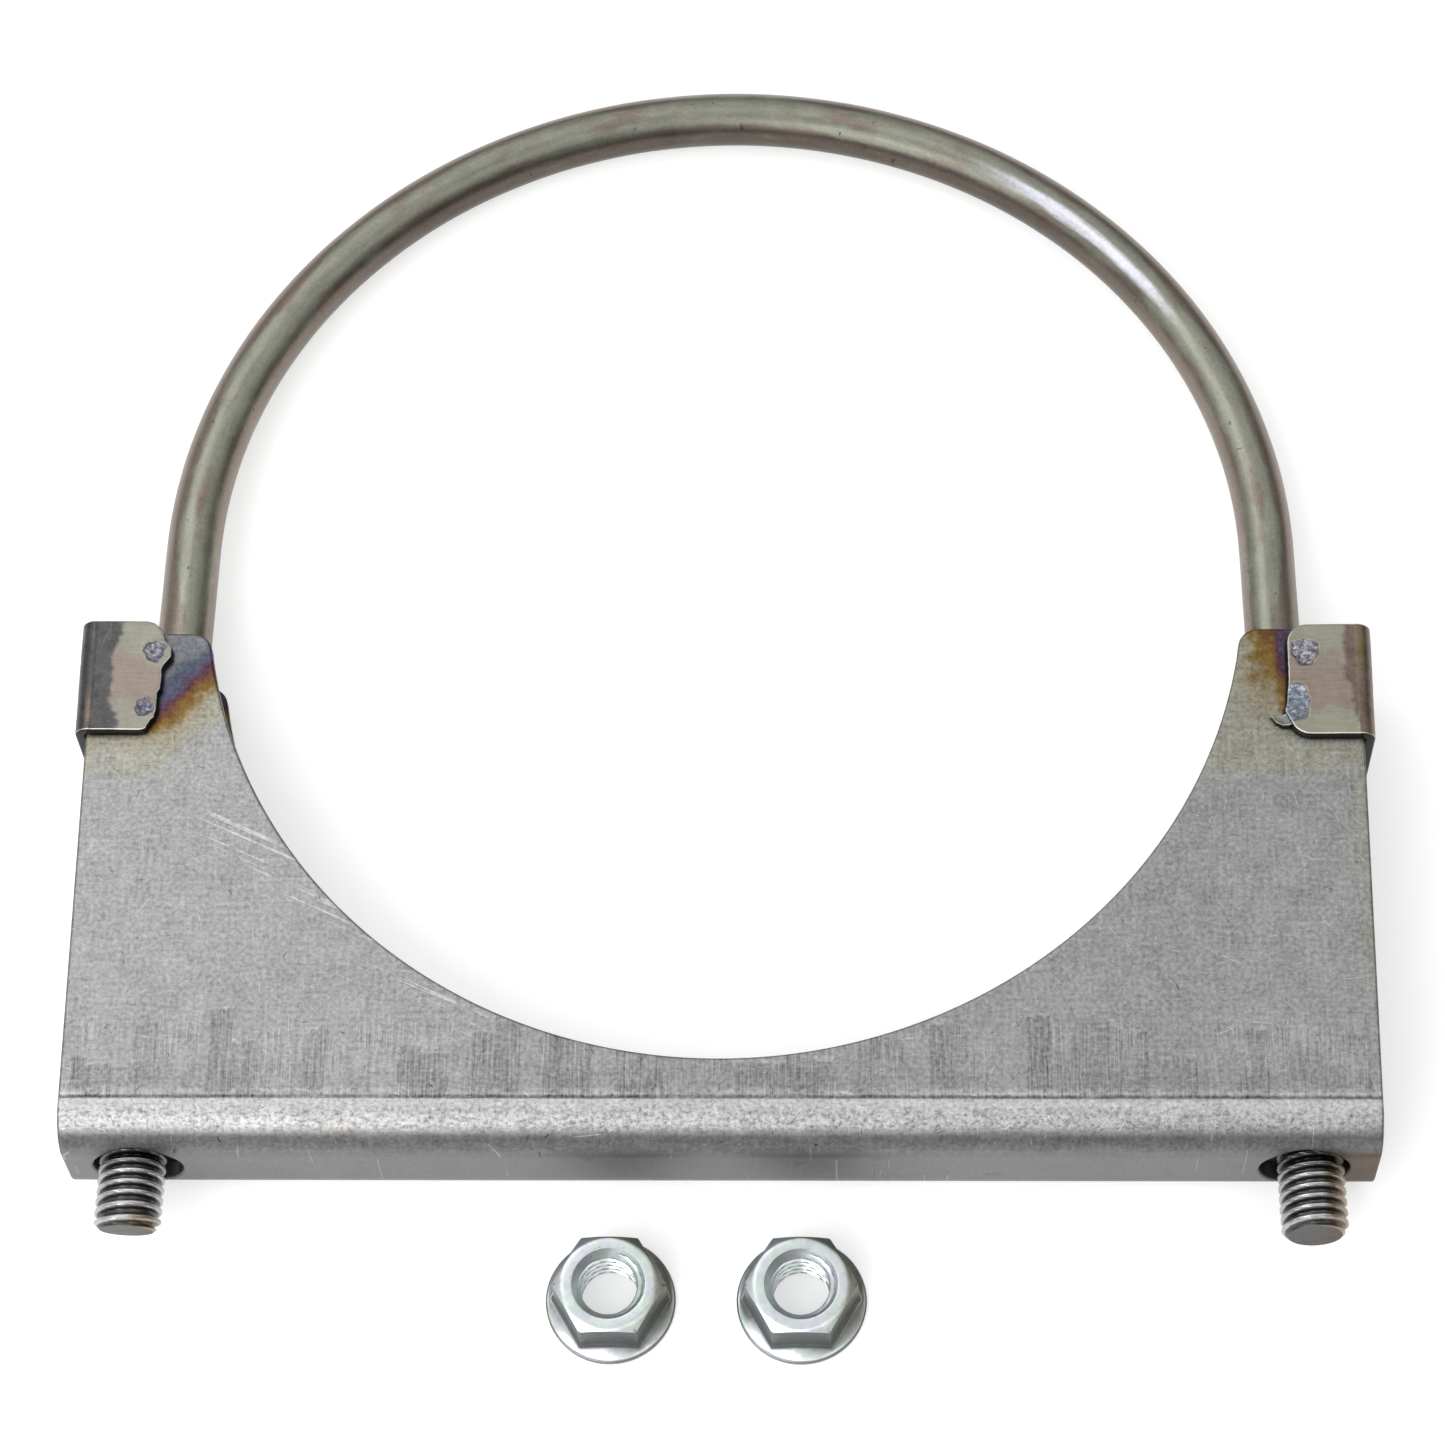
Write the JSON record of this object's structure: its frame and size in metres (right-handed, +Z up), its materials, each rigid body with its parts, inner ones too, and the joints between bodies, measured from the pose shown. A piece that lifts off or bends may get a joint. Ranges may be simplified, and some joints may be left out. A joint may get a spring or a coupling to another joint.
{
  "type": "u-bolt clamp",
  "caption": "U-bolt exhaust clamp: bent round rod with threaded ends, folded sheet saddle with welded guide straps, loose hex flange nuts.",
  "frame": {"origin": "middle of the saddle web's outer face, the face that the nuts bear on", "axes": "+X along the web, +Y from the web towards the crown of the U-bolt, +Z up from the bench that the clamp lies on"},
  "size_m": [0.1894, 0.2088, 0.0242],
  "materials": {
    "saddle_steel": "mill finish, bare sheet steel, mottled grey with fine scratches",
    "rod_steel": "bare oiled round bar, brown-grey, with rolled threads",
    "strap_steel": "bare sheet with dark scale on the bend, ground bright round the spot welds",
    "zinc_plate": "bright zinc plate"
  },
  "bodies": {
    "saddle_assembly": {"saddle": "saddle_steel", "left_guide_strap": "strap_steel", "right_guide_strap": "strap_steel"},
    "u_bolt": {"u_bolt": "rod_steel"},
    "left_nut": {"left_flange_nut": "zinc_plate"},
    "right_nut": {"right_flange_nut": "zinc_plate"}
  },
  "joints": [
    {"name": "u_bolt_slide", "type": "slide", "parent": "saddle_assembly", "child": "u_bolt", "axis": [0, 0.9991, -0.043], "range_m": [-0.0105, 0.0095]},
    {"name": "left_nut_turn", "type": "hinge", "parent": "saddle_assembly", "child": "left_nut", "pos_m": [-0.0156, -0.0159, -0.01215], "axis": [0, 0, 1], "continuous": true},
    {"name": "right_nut_turn", "type": "hinge", "parent": "saddle_assembly", "child": "right_nut", "pos_m": [0.0116, -0.0159, -0.01215], "axis": [0, 0, 1], "continuous": true}
  ]
}
